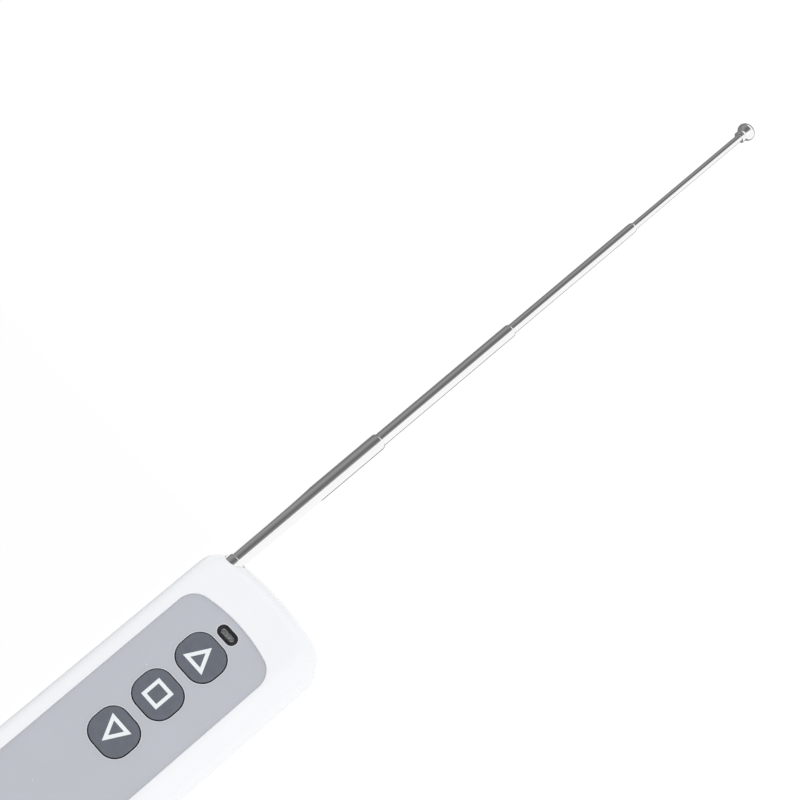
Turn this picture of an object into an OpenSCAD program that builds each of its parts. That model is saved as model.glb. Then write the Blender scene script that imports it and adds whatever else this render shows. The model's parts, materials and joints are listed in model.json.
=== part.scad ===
// Handheld radio remote control with three keys and a telescopic antenna.
// Millimetres. The remote lies on its back: +Z out of the keys, +Y along the antenna.
// The origin is the middle of the flat back face.

/* [Housing] */
// Length of the housing
body_l = 138.4; // [137:0.2:139]
// Width of the housing
body_w = 44.4; // [44:0.2:45]
// Depth of the housing, back face to front rim
body_d = 24; // [24:0.5:25]
// Corner radius at the antenna end
top_corner_r = 8; // [8:0.5:9]
// Corner radius at the battery end
low_corner_r = 8; // [8:0.5:9]
// Radius of the bowed antenna end
bow_r = 85; // [75:1:95]
// Rounding of the front edge at the battery end
front_r = 5; // [4:0.5:5]
// Rounding of the front edge at the antenna end
nose_r = 7.8; // [7:0.2:8]
// Rounding of the back edge
back_r = 6; // [4:0.5:6]
// Wall thickness
wall = 2; // [1.8:0.1:2]

/* [Face] */
// Width of the face panel
panel_w = 32.2; // [31:0.1:34]
// Distance from the middle key to the top of the face panel
panel_up = 28.3; // [28:0.1:29]
// Distance from the middle key to the foot of the face panel
panel_down = 78; // [70:1:82]
// How far the face panel lies below the front rim
panel_inset = 0.7; // [0.5:0.1:0.8]
// Thickness of the face panel
panel_t = 0.6; // [0.5:0.1:0.8]

/* [Keys] */
// Height of the middle key above the middle of the housing
key_y = 26.7; // [26:0.1:27]
// Spacing of the keys
key_pitch = 15; // [14.8:0.1:15.2]
// Width of a key hole
key_w = 13.7; // [13.4:0.1:14]
// Height of a key hole
key_h = 12.2; // [12:0.1:12.5]
// Gap round a key cap
key_gap = 0.25; // [0.25:0.05:0.35]
// How far a key stands above the face panel
key_proud = 0.6; // [0.5:0.1:0.9]
// Line width of the key symbols
stroke = 1.05; // [0.9:0.05:1.2]

/* [Antenna] */
// Distance of the antenna from the middle of the housing
ant_x = -15; // [-15.2:0.1:-15]
// Height of the antenna above the back face
ant_z = 19.2; // [19:0.1:19.3]
// Distance of the base tube's rim from the middle of the housing
rim_y = 67.4; // [67:0.1:68]
// Drawn-out length of the first, widest section
ext_1 = 53; // [50:0.1:54]
// Drawn-out length of the second section
ext_2 = 51.5; // [50:0.1:52]
// Drawn-out length of the third section
ext_3 = 50.4; // [49:0.1:51]
// Drawn-out length of the rod
ext_4 = 45.2; // [44:0.1:46]

/* [Battery] */
// Width of the nine volt battery
bat_w = 26.5; // [26:0.1:26.6]
// Length of the battery's case
bat_l = 46.4; // [46:0.1:46.5]
// Depth of the battery
bat_d = 17.5; // [17:0.1:17.6]

/* [Hidden] */
$fn = 48;
EPS = 0.01;

// Levels, from the back face up
part_z = body_d / 2;
panel_z = body_d - panel_inset;
seat_z = panel_z - panel_t;
inner_z = seat_z - 1.8;
key_top_z = panel_z + key_proud;

// Outline of the housing
half_l = body_l / 2;
half_w = body_w / 2;
bow_y = half_l - bow_r;
top_cx = half_w - top_corner_r;
top_cy = bow_y + sqrt(pow(bow_r - top_corner_r, 2) - pow(top_cx, 2));
low_cx = half_w - low_corner_r;
low_cy = -half_l + low_corner_r;
bow_cs = [for (x = [-top_cx, -top_cx / 2, 0, top_cx / 2, top_cx])
  [x, bow_y + sqrt(pow(bow_r - top_corner_r, 2) - pow(x, 2))]];

// Face panel
panel_half = panel_w / 2;
panel_top = key_y + panel_up;
panel_low = key_y - panel_down;
panel_bow_r = 50;
panel_r = 6;
key_ys = [key_y + key_pitch, key_y, key_y - key_pitch];
key_r = 4.95;
led_y = key_y + 24.3;
bezel = [6.7, 3.6];
led_size = [4.9, 1.8];

// Keys and their switches
flange_top = inner_z - 0.3;
flange_t = 1.2;
plunger_top = flange_top - flange_t;
board_top = 15.2;
board_t = 1.6;
switch_s = 6;
switch_h = 3.5;
symbol_t = 0.3;

// Antenna: outer and inner diameters of the base tube and the three sliding tubes
ods = [5.9, 5, 4, 3.1];
ids = [5.3, 4.4, 3.5, 2.6];
rod_d = 2.2;
bush_ods = [5.22, 4.32, 3.42, 2.52];
necks = [4.76, 3.84, 2.94, 2.04];
slide_gap = 0.08;
overlap = 6;
bush_l = 4.5;
mouth_l = 1.1;
rims = [rim_y, rim_y + ext_1, rim_y + ext_1 + ext_2, rim_y + ext_1 + ext_2 + ext_3];
tip_y = rims[3] + ext_4;
base_depth = ext_1 + overlap - 0.7;
foot_top = rim_y - base_depth;
foot_in = 4;
foot_flange = 2;
tab_t = 0.5;
base_low = foot_top - foot_in;
tab_y = base_low - foot_flange - tab_t;
tip_r = 2.8;
tip_h = 4.2;
tip_neck_r = 1.8;
tip_neck_h = 1.3;

// Case screws: place, and the radii of head, shank and boss
screw_at = [[-8.5, 61.2], [16, 59.5], [-17.2, -60], [17.2, -60]];
head_r = 2;
shank_r = 1.2;
boss_r = 2.9;
head_z = 4.6;

// Circuit board
board_x = [-13.2, 19.4];
board_y = [-6, 55];
post_at = [[-10.5, -3], [16.5, -3], [-10.5, 52], [16.5, 51]];

// Battery bay and door
bat_z = 2.9;
bat_y = -half_l + wall + 1.1;
bat_top = bat_y + bat_l;
term_z = bat_z + bat_d / 2;
term_x = 6.35;
term_h = 2.6;
door_w = 14.1;
door_t = 1.8;
door_gap = 0.15;
door_y = -14;
tongue = 0.65;
bay_w = 13.45;
rib_w = 1.55;

// Points of an arc, for profiles
function arc(c, r, a0, a1, n) =
  [for (i = [0:n]) let (a = a0 + (a1 - a0) * i / n) [c[0] + r * cos(a), c[1] + r * sin(a)]];

// Flat outlines -----------------------------------------------------------------------

// Rectangle with round corners, centred
module round_rect(w, h, r) {
  square([w - 2 * r, h], center = true);
  square([w, h - 2 * r], center = true);
  for (x = [-1, 1], y = [-1, 1])
    translate([x * (w / 2 - r), y * (h / 2 - r)])
      circle(r);
}

// Slot with half-round ends, centred
module stadium(w, h) {
  square([w - h, h], center = true);
  for (x = [-1, 1])
    translate([x * (w - h) / 2, 0])
      circle(h / 2);
}

// Outline with a bowed top: the corner arcs run tangent into the bow
module bowed(half, top, low, r_top, r_low, bow) {
  cx = half - r_top;
  cy = top - bow + sqrt(pow(bow - r_top, 2) - pow(cx, 2));
  tilt = asin(cx / (bow - r_top));
  inner_bow = arc([0, top - bow], bow, 90 - tilt, 90 + tilt, 8);
  polygon(concat(
    arc([half - r_low, low + r_low], r_low, -90, 0, 8),
    arc([cx, cy], r_top, 0, 90 - tilt, 8),
    [for (i = [1:7]) inner_bow[i]],
    arc([-cx, cy], r_top, 90 + tilt, 180, 8),
    arc([-half + r_low, low + r_low], r_low, 180, 270, 8)));
}

// Outline of the housing, drawn in by an inset
module housing_outline(inset) {
  bowed(half_w - inset, half_l - inset, -half_l + inset,
    top_corner_r - inset, low_corner_r - inset, bow_r - inset);
}

module panel_outline(grow) {
  bowed(panel_half + grow, panel_top + grow, panel_low - grow,
    panel_r + grow, panel_r + grow, panel_bow_r + grow);
}

module triangle_ring(w, h) {
  // Inner edge: the same triangle moved in by the stroke
  slope = sqrt(h * h + w * w / 4);
  k = 1 - stroke * (w + 2 * slope) / (w * h);
  difference() {
    polygon([[-w / 2, -h / 2], [w / 2, -h / 2], [0, h / 2]]);
    translate([0, -h / 2 + stroke])
      polygon([[-w / 2 * k, 0], [w / 2 * k, 0], [0, h * k]]);
  }
}

module square_ring(w, h) {
  difference() {
    square([w, h], center = true);
    square([w - 2 * stroke, h - 2 * stroke], center = true);
  }
}

// Solid shapes ------------------------------------------------------------------------

// Round slab with rounded lower and upper edges
module puck(r, z0, z1, low_r, up_r) {
  rotate_extrude($fn = 64)
    polygon(concat([[0, z0]], arc([r - low_r, z0 + low_r], low_r, -90, 0, 6),
      arc([r - up_r, z1 - up_r], up_r, 0, 90, 6), [[0, z1]]));
}

// Housing-shaped solid with rounded edges, drawn in by an inset; nose is the front
// rounding at the antenna end
module housing_solid(inset, z0, z1, low_r, up_r, nose) {
  hull() {
    for (c = bow_cs)
      translate([c[0], c[1], 0])
        puck(top_corner_r - inset, z0, z1, low_r, nose);
    for (x = [-low_cx, low_cx])
      translate([x, low_cy, 0])
        puck(low_corner_r - inset, z0, z1, low_r, up_r);
  }
}

module outer_solid() {
  housing_solid(0, 0, body_d, back_r, front_r, nose_r);
}

module inner_solid() {
  housing_solid(wall, wall, inner_z, 4, 2.5, 3.5);
}

// Half space below or above the parting plane
module slab(z0, z1) {
  translate([-40, -90, z0])
    cube([80, 180, z1 - z0]);
}

// Box between two corners
module block(a, b) {
  translate(a)
    cube(b - a);
}

// Room for the battery in both covers
module battery_room() {
  block([-bay_w, bat_y - 0.2, wall], [bay_w, bat_top, bat_z + bat_d + 0.2]);
}

// Cylinder along Z between two heights
module post(at, r, z0, z1) {
  translate([at[0], at[1], z0])
    cylinder(r = r, h = z1 - z0);
}

// Cylinder along Y on the antenna's axis
module on_axis(r, y0, y1) {
  translate([ant_x, y0, ant_z])
    rotate([-90, 0, 0])
      cylinder(r = r, h = y1 - y0);
}

// Turned solid on the antenna's axis: points are [radius, y]
module turned(points) {
  translate([ant_x, 0, ant_z])
    rotate([-90, 0, 0])
      rotate_extrude($fn = 48)
        polygon(points);
}

// Housing -----------------------------------------------------------------------------

module front_bosses() {
  for (p = screw_at)
    post(p, boss_r, part_z, inner_z + 0.5);
  for (x = [-10.2, 17.8])
    post([x, key_y - key_pitch / 2], 1.5, board_top + 0.05, inner_z + 0.5);
  for (s = [-1, 1])
    block([min(s * bay_w, s * (bay_w + 1.2)), bat_y, part_z],
      [max(s * bay_w, s * (bay_w + 1.2)), bat_top - 6, inner_z + 0.5]);
}

module front_cover() {
  color([0.95, 0.96, 0.97])
  difference() {
    union() {
      difference() {
        intersection() {
          outer_solid();
          slab(part_z, body_d + 1);
        }
        inner_solid();
      }
      front_bosses();
    }
    // Seat of the face panel
    translate([0, 0, seat_z])
      linear_extrude(5)
        panel_outline(0.05);
    // Key holes and the slot of the status light
    for (y = key_ys)
      translate([0, y, inner_z - 1])
        linear_extrude(5)
          round_rect(key_w, key_h, key_r);
    translate([0, led_y, inner_z - 1])
      linear_extrude(5)
        stadium(bezel[0], bezel[1]);
    // Groove that takes the lip of the rear cover
    translate([0, 0, part_z - EPS])
      linear_extrude(1.3 + EPS)
        difference() {
          housing_outline(wall - 1.05);
          housing_outline(wall + 0.5);
        }
    // Bore through the shoulder and channel under the face for the antenna
    on_axis(3.05, tab_y - 3, 75);
    battery_room();
    for (p = screw_at)
      post(p, shank_r + 0.02, part_z - 1, inner_z - 1.5);
  }
}

module rear_ribs() {
  // Screw bosses, board posts and their locating pins
  for (p = screw_at)
    post(p, boss_r, wall - 1, part_z);
  for (p = post_at) {
    post(p, 2, wall - 1, board_top - board_t);
    post(p, 0.9, wall, board_top + 0.8);
  }
  // Saddles under the antenna's base tube
  difference() {
    for (y = [12, 48])
      block([-19.4, y, wall - 1], [-13.4, y + 2, ant_z - 0.6]);
    on_axis(3.05, 10, 52);
  }
  // Sides and head of the battery bay
  for (s = [-1, 1])
    block([min(s * bay_w, s * (bay_w + rib_w)), -half_l + 1, wall],
      [max(s * bay_w, s * (bay_w + rib_w)), door_y, part_z]);
  block([-20.5, -9.5, wall - 1], [20.5, -8.3, 9]);
}

module door_cuts() {
  // Seat of the door, open at the battery end
  block([-door_w - door_gap, -half_l - 1, -1], [door_w + door_gap, door_y + 0.1, door_t + door_gap]);
  // Grooves for the door's tongues
  for (s = [-1, 1])
    block([min(s * 13, s * (door_w + tongue + door_gap)), -half_l - 1, 0.6],
      [max(s * 13, s * (door_w + tongue + door_gap)), -17, 1.5]);
  // Way out for the battery, through the floor and under the end wall
  block([-bay_w, -half_l - 1, -1], [bay_w, door_y + 0.1, bat_z + 0.05]);
}

module rear_cover() {
  color([0.94, 0.95, 0.96])
  difference() {
    union() {
      difference() {
        intersection() {
          outer_solid();
          slab(-1, part_z);
        }
        inner_solid();
      }
      intersection() {
        rear_ribs();
        housing_solid(0.5, 0.5, body_d - 0.5, back_r - 0.5, front_r - 0.5, nose_r - 0.5);
      }
      // Lip that registers the two covers
      translate([0, 0, part_z - 1])
        linear_extrude(2.2)
          difference() {
            housing_outline(wall - 0.95);
            housing_outline(wall - 0.1);
          }
    }
    battery_room();
    door_cuts();
    for (p = screw_at) {
      post(p, shank_r + 0.15, -1, part_z + 1);
      post(p, head_r + 0.1, -1, head_z);
    }
  }
}

module battery_door() {
  tongue_ys = [-62, -46, -30];
  color([0.94, 0.95, 0.96])
  difference() {
    union() {
      intersection() {
        outer_solid();
        union() {
          block([-door_w, -half_l - 1, -1], [door_w, door_y, door_t]);
          // End lip that closes the way out
          block([-bay_w + 0.15, -half_l - 1, 0], [bay_w - 0.15, bat_y - 0.3, bat_z - 0.1]);
          for (y = tongue_ys)
            block([-door_w - tongue, y, 0.75], [door_w + tongue, y + 8, 1.35]);
        }
      }
      // Catch that lies over the floor of the rear cover
      block([-4, door_y - 3, door_t - 0.5], [4, door_y, bat_z - 0.2]);
      block([-4, door_y - EPS, wall + 0.1], [4, door_y + 3.4, bat_z - 0.2]);
    }
    // Finger grip
    for (i = [0:5])
      block([-7 + i * 0.5, -24 - i * 2, -1], [7 - i * 0.5, -23 - i * 2, 0.5]);
  }
}

module door_foam() {
  color([0.25, 0.25, 0.26])
    block([-9, -56, door_t], [9, -26, bat_z - 0.3]);
}

module face_panel() {
  color([0.72, 0.73, 0.76])
    translate([0, 0, seat_z])
      linear_extrude(panel_t)
        difference() {
          panel_outline(0);
          for (y = key_ys)
            translate([0, y])
              round_rect(key_w, key_h, key_r);
          translate([0, led_y])
            stadium(bezel[0], bezel[1]);
        }
}

module case_screws() {
  head_low = head_z - 1.6;
  color([0.6, 0.6, 0.62])
  for (p = screw_at)
    difference() {
      union() {
        post(p, head_r, head_low, head_z);
        post(p, shank_r, head_z, part_z + 5);
        translate([p[0], p[1], part_z + 5])
          cylinder(r1 = shank_r, r2 = 0.3, h = 1.4);
      }
      for (a = [0, 90])
        translate([p[0], p[1], head_low])
          rotate([0, 0, a])
            cube([2.2, 0.5, 2], center = true);
    }
}

// Status light ------------------------------------------------------------------------

module led_bezel() {
  color([0.1, 0.1, 0.11])
    translate([0, led_y, inner_z])
      linear_extrude(panel_z + 0.2 - inner_z)
        difference() {
          stadium(bezel[0] - 0.06, bezel[1] - 0.06);
          stadium(led_size[0] + 0.1, led_size[1] + 0.1);
        }
}

module status_led() {
  color([0.45, 0.45, 0.47])
    translate([0, led_y, 0]) {
      translate([0, 0, board_top + 0.7])
        linear_extrude(1)
          stadium(led_size[0] + 0.8, led_size[1] + 0.8);
      translate([0, 0, board_top + 1.7])
        linear_extrude(panel_z - 0.1 - board_top - 1.7)
          stadium(led_size[0], led_size[1]);
    }
}

module led_leads() {
  color("silver")
    for (x = [-1.27, 1.27])
      post([x, led_y], 0.25, board_top - board_t - 0.8, board_top + 0.7);
}

// Keys --------------------------------------------------------------------------------

module symbol(kind) {
  if (kind == "up")
    translate([0, 0.35])
      triangle_ring(7.55, 6.9);
  if (kind == "stop")
    translate([-0.15, 0])
      square_ring(5.95, 6.2);
  if (kind == "down")
    translate([-0.25, -0.45])
      mirror([0, 1])
        triangle_ring(7.6, 6.9);
}

module key(y, kind) {
  color([0.42, 0.43, 0.47])
    translate([0, y, 0])
      difference() {
        union() {
          translate([0, 0, plunger_top])
            linear_extrude(flange_t)
              round_rect(key_w + 1.2, key_h + 1.2, key_r);
          translate([0, 0, flange_top - EPS])
            linear_extrude(key_top_z - flange_top + EPS)
              round_rect(key_w - 2 * key_gap, key_h - 2 * key_gap, key_r - key_gap);
        }
        translate([0, 0, key_top_z - symbol_t])
          linear_extrude(2)
            symbol(kind);
      }
}

module key_symbol(y, kind) {
  color("white")
    translate([0, y, key_top_z - symbol_t])
      linear_extrude(symbol_t)
        symbol(kind);
}

module tact_switch(y) {
  top = board_top + switch_h;
  color([0.15, 0.15, 0.16])
    translate([0, y, 0]) {
      difference() {
        block([-switch_s / 2, -switch_s / 2, board_top], [switch_s / 2, switch_s / 2, top]);
        post([0, 0], 1.8, top - 1.5, top + 1);
      }
      for (sx = [-1, 1], sy = [-1, 1])
        translate([sx * (switch_s / 2 + 0.35), sy * 2.25, board_top + 0.7])
          cube([0.7, 0.7, 1.4], center = true);
    }
}

module plunger(y) {
  color([0.2, 0.2, 0.2])
    post([0, y], 1.7, board_top + switch_h - 0.9, plunger_top);
}

module up_key() { key(key_ys[0], "up"); }
module up_symbol() { key_symbol(key_ys[0], "up"); }
module up_switch() { tact_switch(key_ys[0]); }
module up_plunger() { plunger(key_ys[0]); }
module stop_key() { key(key_ys[1], "stop"); }
module stop_symbol() { key_symbol(key_ys[1], "stop"); }
module stop_switch() { tact_switch(key_ys[1]); }
module stop_plunger() { plunger(key_ys[1]); }
module down_key() { key(key_ys[2], "down"); }
module down_symbol() { key_symbol(key_ys[2], "down"); }
module down_switch() { tact_switch(key_ys[2]); }
module down_plunger() { plunger(key_ys[2]); }

// Antenna -----------------------------------------------------------------------------

// Tube k with its rim rolled in over the next section; neck is 0 for a plain lower end
module antenna_tube(k, low, neck_r, next_d) {
  ro = ods[k] / 2;
  ri = ids[k] / 2;
  mouth_r = next_d / 2 + slide_gap / 2;
  lip = ro - mouth_r - 0.12;
  top = rims[k];
  outer = [for (i = [0:5]) let (a = i * 15)
    [ro - lip * (1 - cos(a)) / (1 - cos(75)), top - mouth_l + mouth_l * sin(a) / sin(75)]];
  foot = neck_r > 0
    ? [[ri, low], [neck_r, low], [neck_r, low + bush_l], [ro, low + bush_l]]
    : [[ri, low], [ro, low]];
  turned(concat(foot, outer, [[mouth_r, top], [mouth_r, top - 0.35], [ri, top - mouth_l + 0.2]]));
}

// Sprung brass sleeve round the lower end of section k
module bush(k) {
  low = rims[k] - overlap;
  turned([[necks[k] / 2, low], [bush_ods[k] / 2 - 0.06, low], [bush_ods[k] / 2, low + 0.3],
    [bush_ods[k] / 2, low + bush_l - 0.3], [bush_ods[k] / 2 - 0.06, low + bush_l],
    [necks[k] / 2, low + bush_l]]);
}

module antenna_base_tube() {
  color([0.8, 0.81, 0.83])
    antenna_tube(0, base_low, 0, ods[1]);
}

module antenna_tube_1() {
  color([0.8, 0.81, 0.83])
    antenna_tube(1, rims[0] - overlap, necks[0] / 2, ods[2]);
}

module antenna_tube_2() {
  color([0.8, 0.81, 0.83])
    antenna_tube(2, rims[1] - overlap, necks[1] / 2, ods[3]);
}

module antenna_tube_3() {
  color([0.8, 0.81, 0.83])
    antenna_tube(3, rims[2] - overlap, necks[2] / 2, rod_d);
}

module antenna_rod() {
  low = rims[3] - overlap;
  color([0.8, 0.81, 0.83])
    turned([[0, low], [necks[3] / 2, low], [necks[3] / 2, low + bush_l], [rod_d / 2, low + bush_l],
      [rod_d / 2, tip_y], [0, tip_y]]);
}

module tube_1_bush() { color("goldenrod") bush(0); }
module tube_2_bush() { color("goldenrod") bush(1); }
module tube_3_bush() { color("goldenrod") bush(2); }
module rod_bush() { color("goldenrod") bush(3); }

// Pull knob: a short neck under a flattened ball
module antenna_tip() {
  ball_y = tip_y + tip_neck_h;
  flat = tip_h / 2;
  waist = acos(1.5 / tip_r);
  side = [for (i = [0:16]) let (a = -waist + i * (90 + waist) / 16)
    [tip_r * cos(a), ball_y + flat * (sin(a) + sin(waist)) / (1 + sin(waist)) * 2]];
  color([0.8, 0.81, 0.83])
    turned(concat([[0, tip_y], [tip_neck_r - 0.2, tip_y], [tip_neck_r, tip_y + 0.25],
      [tip_neck_r, ball_y - 0.25], [1.5, ball_y - 0.1]], side));
}

module antenna_foot() {
  color("goldenrod")
  difference() {
    turned([[0, base_low - foot_flange], [ods[0] / 2, base_low - foot_flange], [ods[0] / 2, base_low],
      [ids[0] / 2, base_low], [ids[0] / 2, foot_top - 0.4], [ids[0] / 2 - 0.4, foot_top], [0, foot_top]]);
    on_axis(1.25, base_low - foot_flange - 1, foot_top - 0.8);
  }
}

module antenna_screw() {
  color([0.6, 0.6, 0.62])
  difference() {
    turned([[0, tab_y - 1.6], [1.6, tab_y - 1.6], [2.25, tab_y - 1], [2.25, tab_y], [1.22, tab_y],
      [1.22, tab_y + 4.6], [0.8, tab_y + 5], [0, tab_y + 5]]);
    for (a = [0, 90])
      translate([ant_x, tab_y - 1.6, ant_z])
        rotate([0, a, 0])
          cube([2.4, 1.4, 0.5], center = true);
  }
}

// Solder tag under the screw, with an arm over the board and a pin through it
module antenna_tab() {
  color([0.85, 0.8, 0.6])
  difference() {
    union() {
      on_axis(2.7, tab_y, tab_y + tab_t);
      block([ant_x - 1.5, tab_y, board_top + 0.3], [-10, tab_y + tab_t, ant_z - 1.6]);
      block([-10.6, tab_y, board_top - board_t - 0.6], [-10, tab_y + tab_t, board_top + 1]);
    }
    on_axis(1.35, tab_y - 1, tab_y + 1);
  }
}

// Circuit -----------------------------------------------------------------------------

module circuit_board() {
  color([0.1, 0.4, 0.2])
  difference() {
    block([board_x[0], board_y[0], board_top - board_t], [board_x[1], board_y[1], board_top]);
    for (p = post_at)
      post(p, 1, 0, 20);
    for (x = [-1.27, 1.27])
      post([x, led_y], 0.3, 0, 20);
    for (x = [-8, -5.5])
      post([x, -4.2], 0.75, 0, 20);
    block([-10.8, tab_y - 0.2, 0], [-9.8, tab_y + 0.7, 20]);
  }
}

// Small-outline package with gull-wing legs down both sides
module encoder_chip() {
  at = [11.3, 24, board_top];
  color([0.12, 0.12, 0.13])
    translate(at) {
      block([-3.7, -5.8, 0.1], [3.7, 5.8, 2.3]);
      for (s = [-1, 1], i = [-4:4])
        translate([s * 4.3, i * 1.27, 0.55])
          cube([1.2, 0.4, 1.1], center = true);
    }
}

module rf_transistor() {
  color([0.12, 0.12, 0.13])
    translate([12, 43, board_top]) {
      block([-2.25, -1.25, 0.1], [2.25, 1.25, 1.6]);
      for (x = [-1.5, 0, 1.5])
        translate([x, -1.65, 0.2])
          cube([0.4, 0.8, 0.4], center = true);
      translate([0, 1.65, 0.2])
        cube([1.6, 0.8, 0.4], center = true);
    }
}

module saw_resonator() {
  color("silver")
    post([13.5, 35.5], 4.1, board_top, board_top + 0.6);
  color("silver")
    post([13.5, 35.5], 3.6, board_top + 0.6 - EPS, board_top + 3.2);
}

// Point t turns along an air-wound coil lying across the board
function coil_at(t) = [-4 + 1.3 * t, 1.2 + 1.9 * cos(360 * t), board_top + 2.5 + 1.9 * sin(360 * t)];

// Tube of small radius round a chain of points, closed at both ends
module sweep(points, r, sides) {
  last = len(points) - 1;
  rings = [for (i = [0:last])
    let (d = points[min(i + 1, last)] - points[max(i - 1, 0)], t = d / norm(d),
      up = abs(t[2]) < 0.9 ? [0, 0, 1] : [1, 0, 0],
      u = cross(up, t) / norm(cross(up, t)), v = cross(t, u))
    [for (k = [0:sides - 1]) let (a = 360 * k / sides) points[i] + r * (cos(a) * u + sin(a) * v)]];
  verts = [for (ring = rings) for (p = ring) p];
  walls = [for (i = [0:last - 1]) for (k = [0:sides - 1])
    let (a = i * sides + k, b = i * sides + (k + 1) % sides)
    each [[a, a + sides, b + sides], [a, b + sides, b]]];
  ends = [for (k = [1:sides - 2]) each [[0, k, k + 1],
    [last * sides, last * sides + k + 1, last * sides + k]]];
  polyhedron(verts, concat(walls, ends));
}

module loading_coil() {
  color([0.72, 0.42, 0.2])
    sweep([for (i = [0:70]) coil_at(i / 14)], 0.35, 6);
}

module electrolytic_capacitor() {
  color([0.1, 0.12, 0.2])
    translate([15, 4, board_top + 2.6])
      rotate([-90, 0, 0])
        cylinder(r = 2.5, h = 8);
}

module chips_at(places, size) {
  for (p = places)
    translate([p[0], p[1], board_top + size[2] / 2])
      cube(size, center = true);
}

module chip_resistors() {
  color([0.1, 0.1, 0.1])
    chips_at([for (i = [0:4]) [9.5, -1 + 3.2 * i]], [2, 1.25, 0.5]);
}

module chip_capacitors() {
  color([0.7, 0.6, 0.45])
    chips_at([for (i = [0:4]) [6.5 + 2.6 * i, 48.5]], [1.25, 2, 0.8]);
}

// Battery -----------------------------------------------------------------------------

module battery() {
  color([0.2, 0.22, 0.26])
    translate([0, bat_y, term_z])
      rotate([-90, 0, 0])
        linear_extrude(bat_l)
          round_rect(bat_w, bat_d, 1.5);
}

module battery_terminals() {
  color("silver")
    translate([0, bat_top, term_z])
      rotate([-90, 0, 0]) {
        translate([-term_x, 0, 0])
          cylinder(r = 2.85, h = term_h);
        translate([term_x, 0, 0])
          difference() {
            cylinder(r = 4.2, h = term_h, $fn = 6);
            translate([0, 0, -1])
              cylinder(r = 3.1, h = term_h + 2);
          }
      }
}

module battery_snap() {
  color([0.12, 0.12, 0.13])
    translate([0, bat_top + term_h + 0.4, term_z])
      rotate([-90, 0, 0])
        linear_extrude(2.2)
          round_rect(25, 12, 2);
}

module snap_contacts() {
  low = bat_top + 0.5;
  color("silver")
    translate([0, low, term_z])
      rotate([-90, 0, 0]) {
        translate([-term_x, 0, 0])
          difference() {
            cylinder(r = 4, h = term_h - 0.1);
            translate([0, 0, -1])
              cylinder(r = 2.95, h = term_h + 2);
          }
        translate([term_x, 0, 0])
          cylinder(r = 3, h = term_h - 0.1);
      }
}

// Leads: out of the snap connector, up over the head of the bay and down into the board
lead_r = 0.65;
snap_y = bat_top + term_h + 2.6;
function lead_route(x0, x1) = [
  [x0, snap_y, term_z], [x0, snap_y + 1.2, term_z], [x0, snap_y + 2.2, term_z + 1],
  [x0 * 0.9 + x1 * 0.1, snap_y + 2.8, term_z + 2.4], [x0 * 0.7 + x1 * 0.3, snap_y + 3.6, term_z + 4],
  [x0 * 0.5 + x1 * 0.5, snap_y + 4.8, term_z + 5.4], [x0 * 0.3 + x1 * 0.7, snap_y + 6.4, term_z + 6.2],
  [x0 * 0.1 + x1 * 0.9, snap_y + 8, term_z + 6.2], [x1, -5, term_z + 5.6], [x1, -4.35, term_z + 4.6],
  [x1, -4.2, term_z + 3.4], [x1, -4.2, board_top - board_t - 0.5]];

module red_lead() {
  color([0.8, 0.1, 0.1])
    sweep(lead_route(-4, -5.5), lead_r, 10);
}

module black_lead() {
  color([0.08, 0.08, 0.08])
    sweep(lead_route(-6.5, -8), lead_r, 10);
}

front_cover();
rear_cover();
battery_door();
door_foam();
face_panel();
case_screws();
led_bezel();
status_led();
led_leads();
up_key();
up_symbol();
up_switch();
up_plunger();
stop_key();
stop_symbol();
stop_switch();
stop_plunger();
down_key();
down_symbol();
down_switch();
down_plunger();
antenna_base_tube();
antenna_foot();
antenna_screw();
antenna_tab();
antenna_tube_1();
tube_1_bush();
antenna_tube_2();
tube_2_bush();
antenna_tube_3();
tube_3_bush();
antenna_rod();
rod_bush();
antenna_tip();
circuit_board();
encoder_chip();
rf_transistor();
saw_resonator();
loading_coil();
electrolytic_capacitor();
chip_resistors();
chip_capacitors();
battery();
battery_terminals();
battery_snap();
snap_contacts();
red_lead();
black_lead();
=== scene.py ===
import json
import math

import bmesh
import bpy
from mathutils import Matrix, Vector


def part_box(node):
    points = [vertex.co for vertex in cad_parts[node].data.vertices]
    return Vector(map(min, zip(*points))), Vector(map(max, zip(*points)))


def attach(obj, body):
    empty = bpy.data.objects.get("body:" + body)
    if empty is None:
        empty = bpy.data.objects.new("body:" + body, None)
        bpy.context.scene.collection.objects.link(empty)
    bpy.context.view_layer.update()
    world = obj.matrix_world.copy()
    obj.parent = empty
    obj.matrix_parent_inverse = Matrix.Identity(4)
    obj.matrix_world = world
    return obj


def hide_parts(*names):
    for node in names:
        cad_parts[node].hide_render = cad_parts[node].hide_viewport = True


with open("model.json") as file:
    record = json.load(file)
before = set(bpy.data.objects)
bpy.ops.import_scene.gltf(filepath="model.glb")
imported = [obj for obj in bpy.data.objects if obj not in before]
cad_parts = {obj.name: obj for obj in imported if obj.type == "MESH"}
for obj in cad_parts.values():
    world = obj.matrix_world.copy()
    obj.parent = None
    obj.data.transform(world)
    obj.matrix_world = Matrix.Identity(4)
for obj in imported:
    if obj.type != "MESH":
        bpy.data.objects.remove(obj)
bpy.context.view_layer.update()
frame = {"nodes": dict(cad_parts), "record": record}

# Shapes below are worked out in millimetres; vertices are made in metres.
MM = 0.001
RECORD = frame["record"]
BODY_OF = {node: body for body, nodes in RECORD["behaviour"]["bodies"].items() for node in nodes}


def box(node):
    """Lowest and highest corner of a CAD node, in millimetres."""
    low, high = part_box(node)
    return low / MM, high / MM


def middle(node):
    """Centre of a CAD node's box, in millimetres."""
    low, high = box(node)
    return (low + high) / 2


# Levels and sizes from the frame ------------------------------------------------------

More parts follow.
